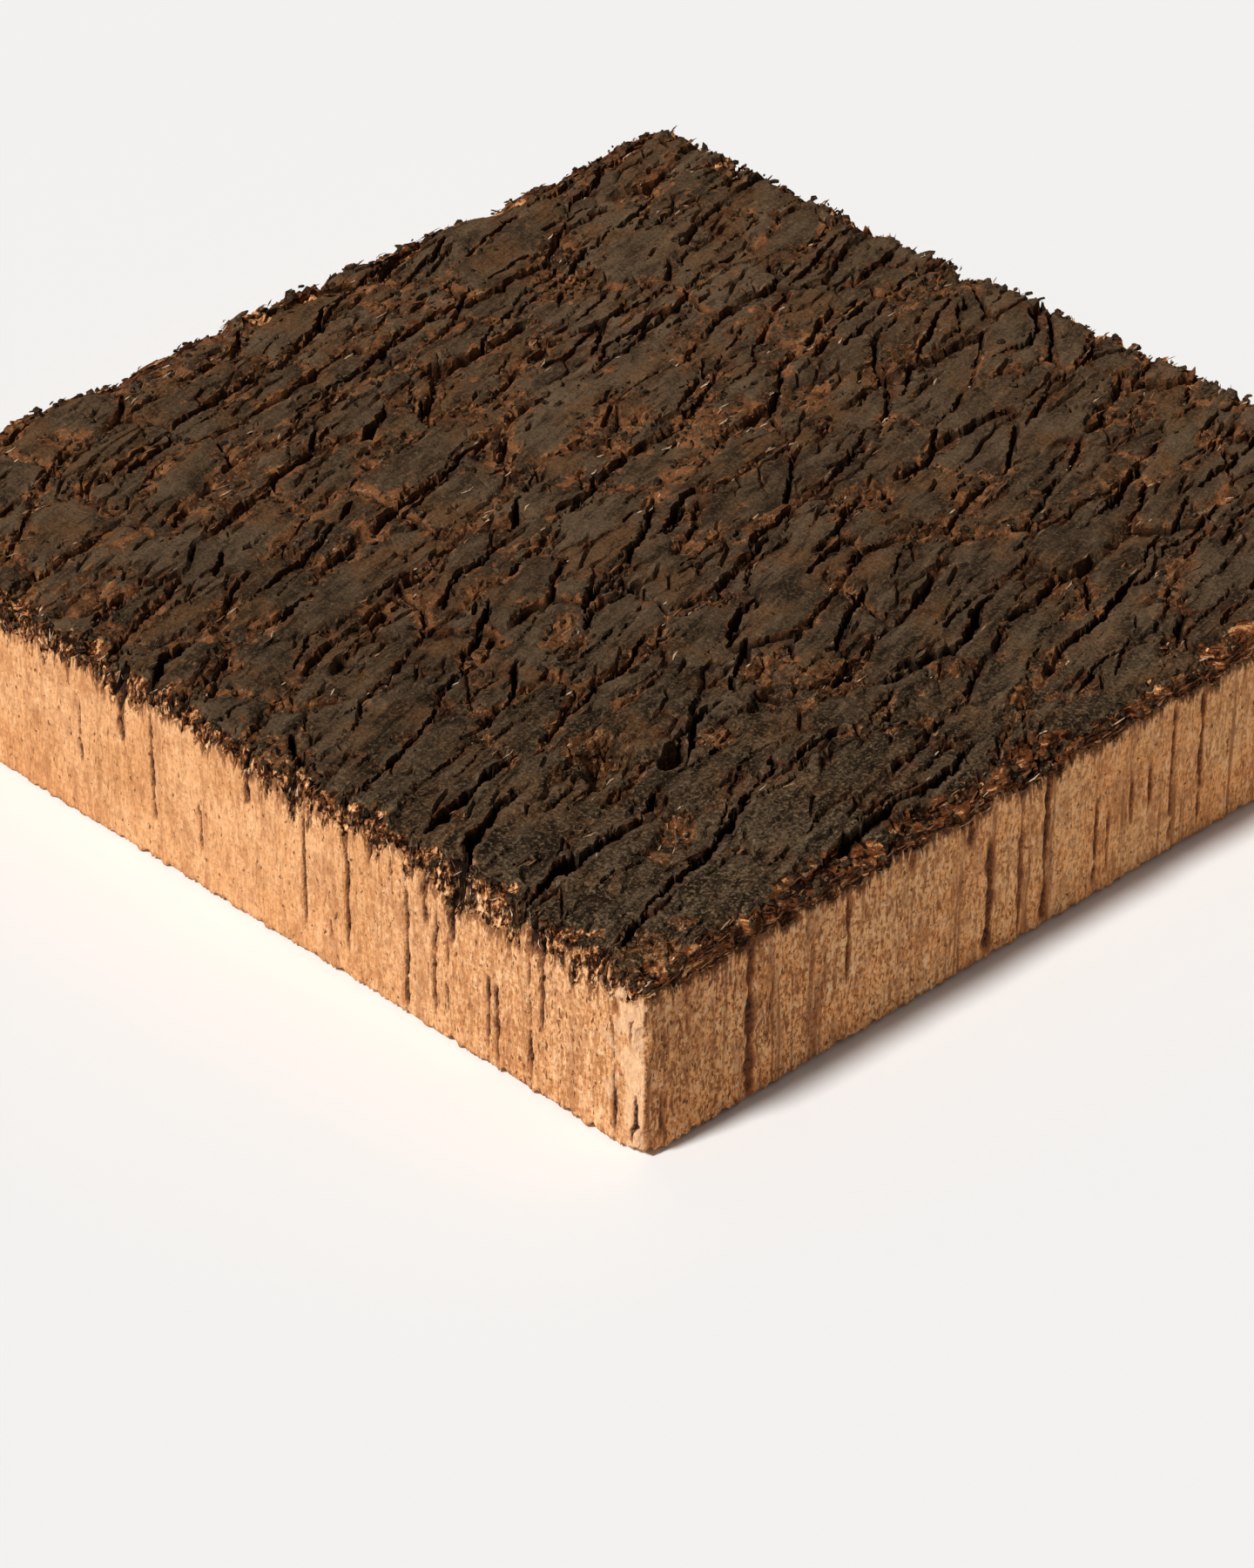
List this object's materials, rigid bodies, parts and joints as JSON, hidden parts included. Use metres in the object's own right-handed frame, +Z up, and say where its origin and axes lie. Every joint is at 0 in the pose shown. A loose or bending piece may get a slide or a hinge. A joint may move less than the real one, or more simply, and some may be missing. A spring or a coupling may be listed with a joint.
{
  "type": "cork bark slab",
  "caption": "Square slab of raw cork with a flat underside, four sawn sides and a cracked, dark bark face on top.",
  "frame": {"origin": "centre of the flat underside", "axes": "+Z up through the slab to its bark side; +X roughly along the grain; the cross-cut ends face -X and +X"},
  "size_m": [0.2, 0.2, 0.0355],
  "materials": {
    "cork": "raw, matt"
  },
  "bodies": {
    "root": {"cork_slab": "cork"}
  },
  "joints": []
}
